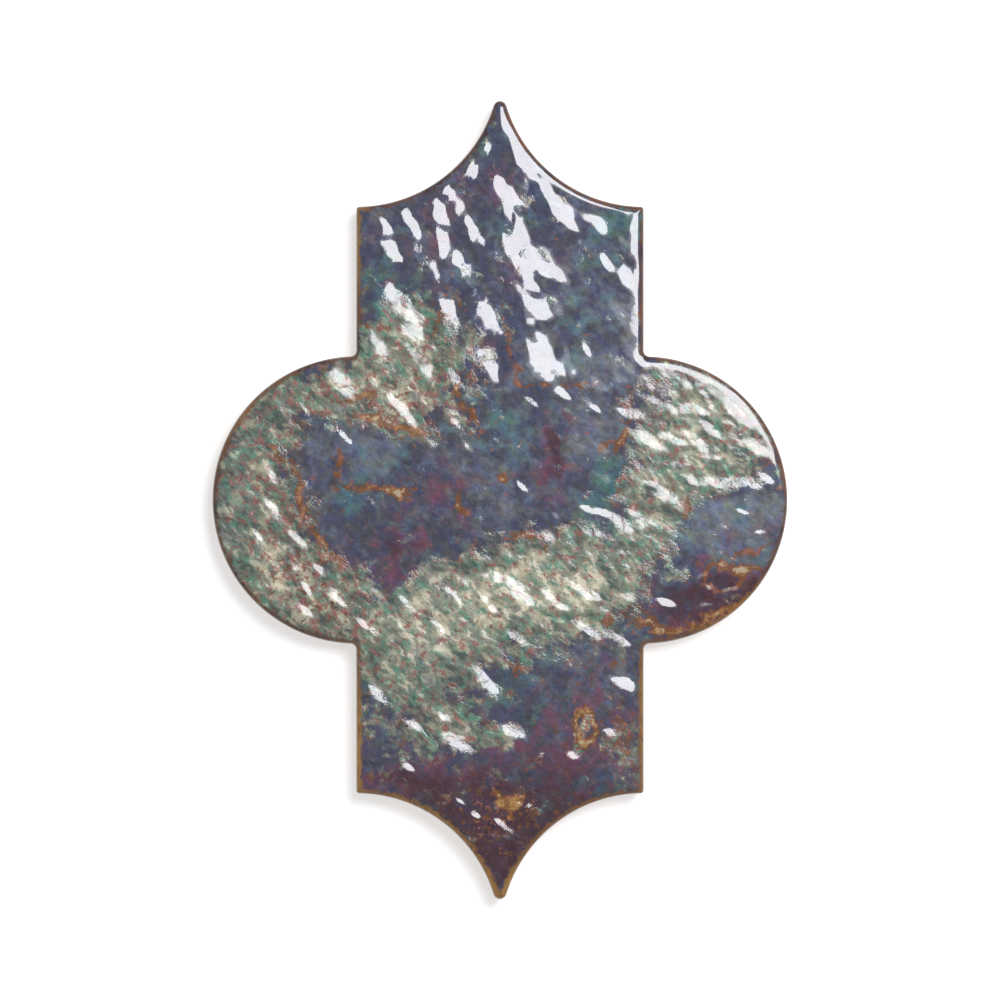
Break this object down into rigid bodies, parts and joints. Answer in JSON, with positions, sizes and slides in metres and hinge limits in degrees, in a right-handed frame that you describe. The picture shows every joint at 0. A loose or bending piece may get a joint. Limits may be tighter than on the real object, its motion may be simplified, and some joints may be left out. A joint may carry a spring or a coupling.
{
  "type": "moroccan arabesque tile",
  "caption": "Glazed ceramic tile in a lantern arabesque outline: round side lobes, straight neck, hollow-arched pointed tips, rolled face edge and key grooves in the back.",
  "frame": {"origin": "centre of the tile's back, on the surface that it lies on", "axes": "+Z out of the glazed face, +Y from the centre to one tip, +X from the centre to one lobe"},
  "size_m": [0.144, 0.2, 0.009],
  "materials": {
    "reactive_glaze": "glossy reactive glaze, mottled blue, violet and grey-green with rust edges"
  },
  "bodies": {
    "root": {"arabesque_tile": "reactive_glaze"}
  },
  "joints": []
}
